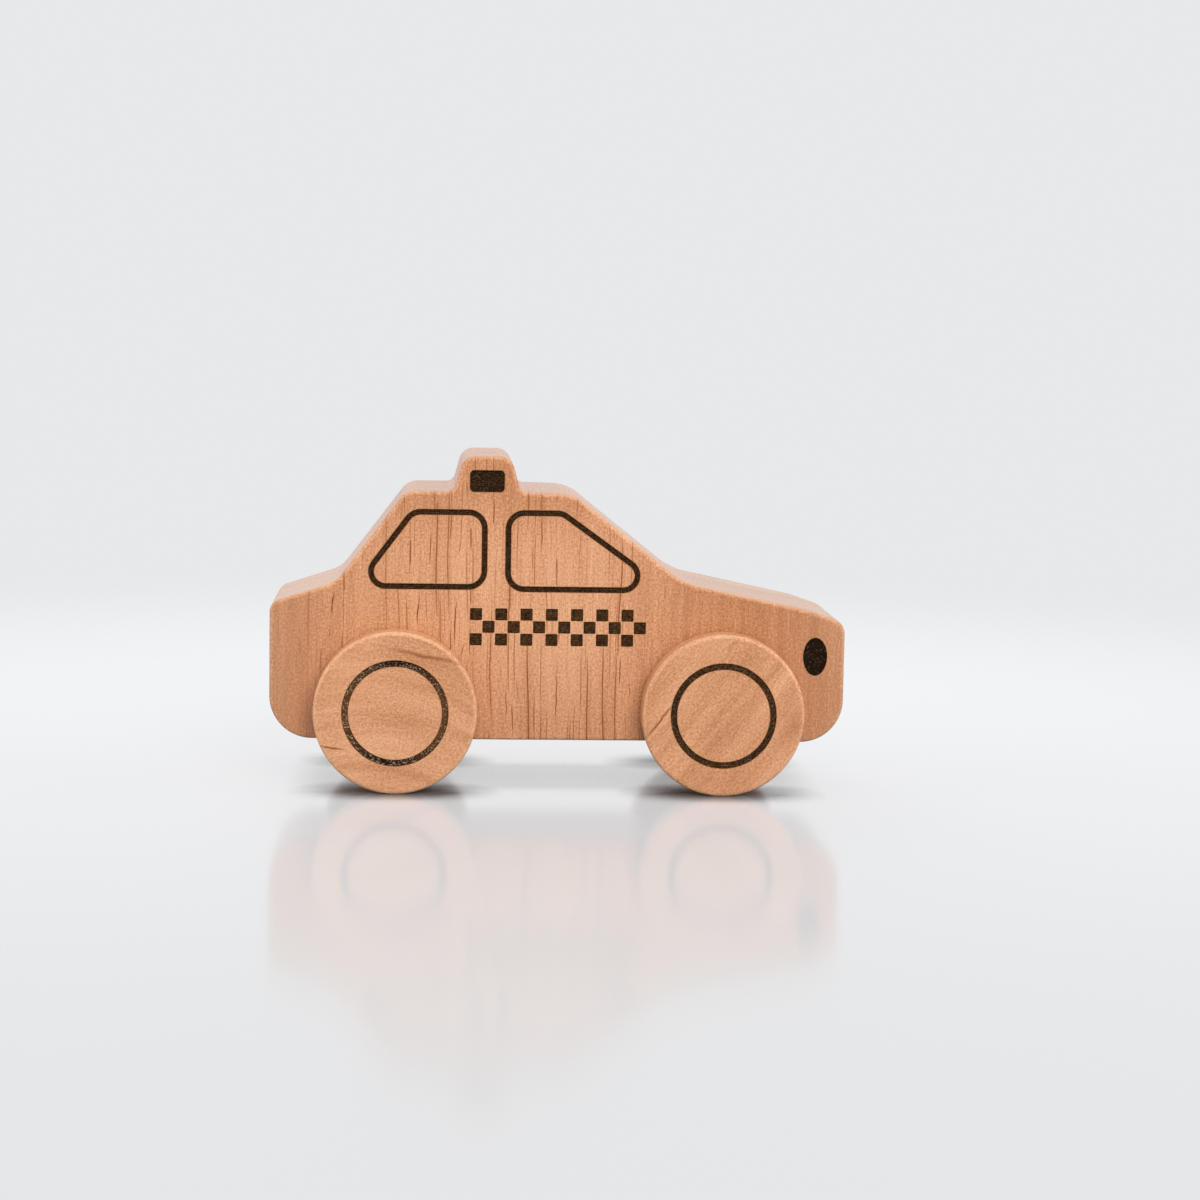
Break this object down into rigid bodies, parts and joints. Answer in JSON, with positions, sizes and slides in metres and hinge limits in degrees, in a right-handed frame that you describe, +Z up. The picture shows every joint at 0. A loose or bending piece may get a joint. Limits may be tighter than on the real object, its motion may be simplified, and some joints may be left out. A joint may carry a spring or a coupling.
{
  "type": "toy police car",
  "caption": "Wooden push-along toy patrol car cut from a board, with engraved windows, lens and headlamps, a beacon on the roof, and disc wheels that roll on dowel axles.",
  "frame": {"origin": "on the ground, under the middle of the car", "axes": "+X to the nose, +Y to the car's left side, +Z up"},
  "size_m": [0.1348, 0.054, 0.0782],
  "materials": {
    "body_wood": "sanded and oiled, satin",
    "wheel_wood": "sanded and oiled, satin",
    "axle_wood": "bare dowel, satin"
  },
  "bodies": {
    "car_body": {"body": "body_wood"},
    "front_wheelset": {"front_axle": "axle_wood", "wheel_front_right": "wheel_wood", "wheel_front_left": "wheel_wood"},
    "rear_wheelset": {"rear_axle": "axle_wood", "wheel_rear_right": "wheel_wood", "wheel_rear_left": "wheel_wood"}
  },
  "joints": [
    {"name": "front_wheels_roll", "type": "hinge", "parent": "car_body", "child": "front_wheelset", "pos_m": [0.03825, 0, 0.019], "axis": [0, 1, 0], "continuous": true},
    {"name": "rear_wheels_roll", "type": "hinge", "parent": "car_body", "child": "rear_wheelset", "pos_m": [-0.03795, 0, 0.019], "axis": [0, 1, 0], "continuous": true}
  ]
}
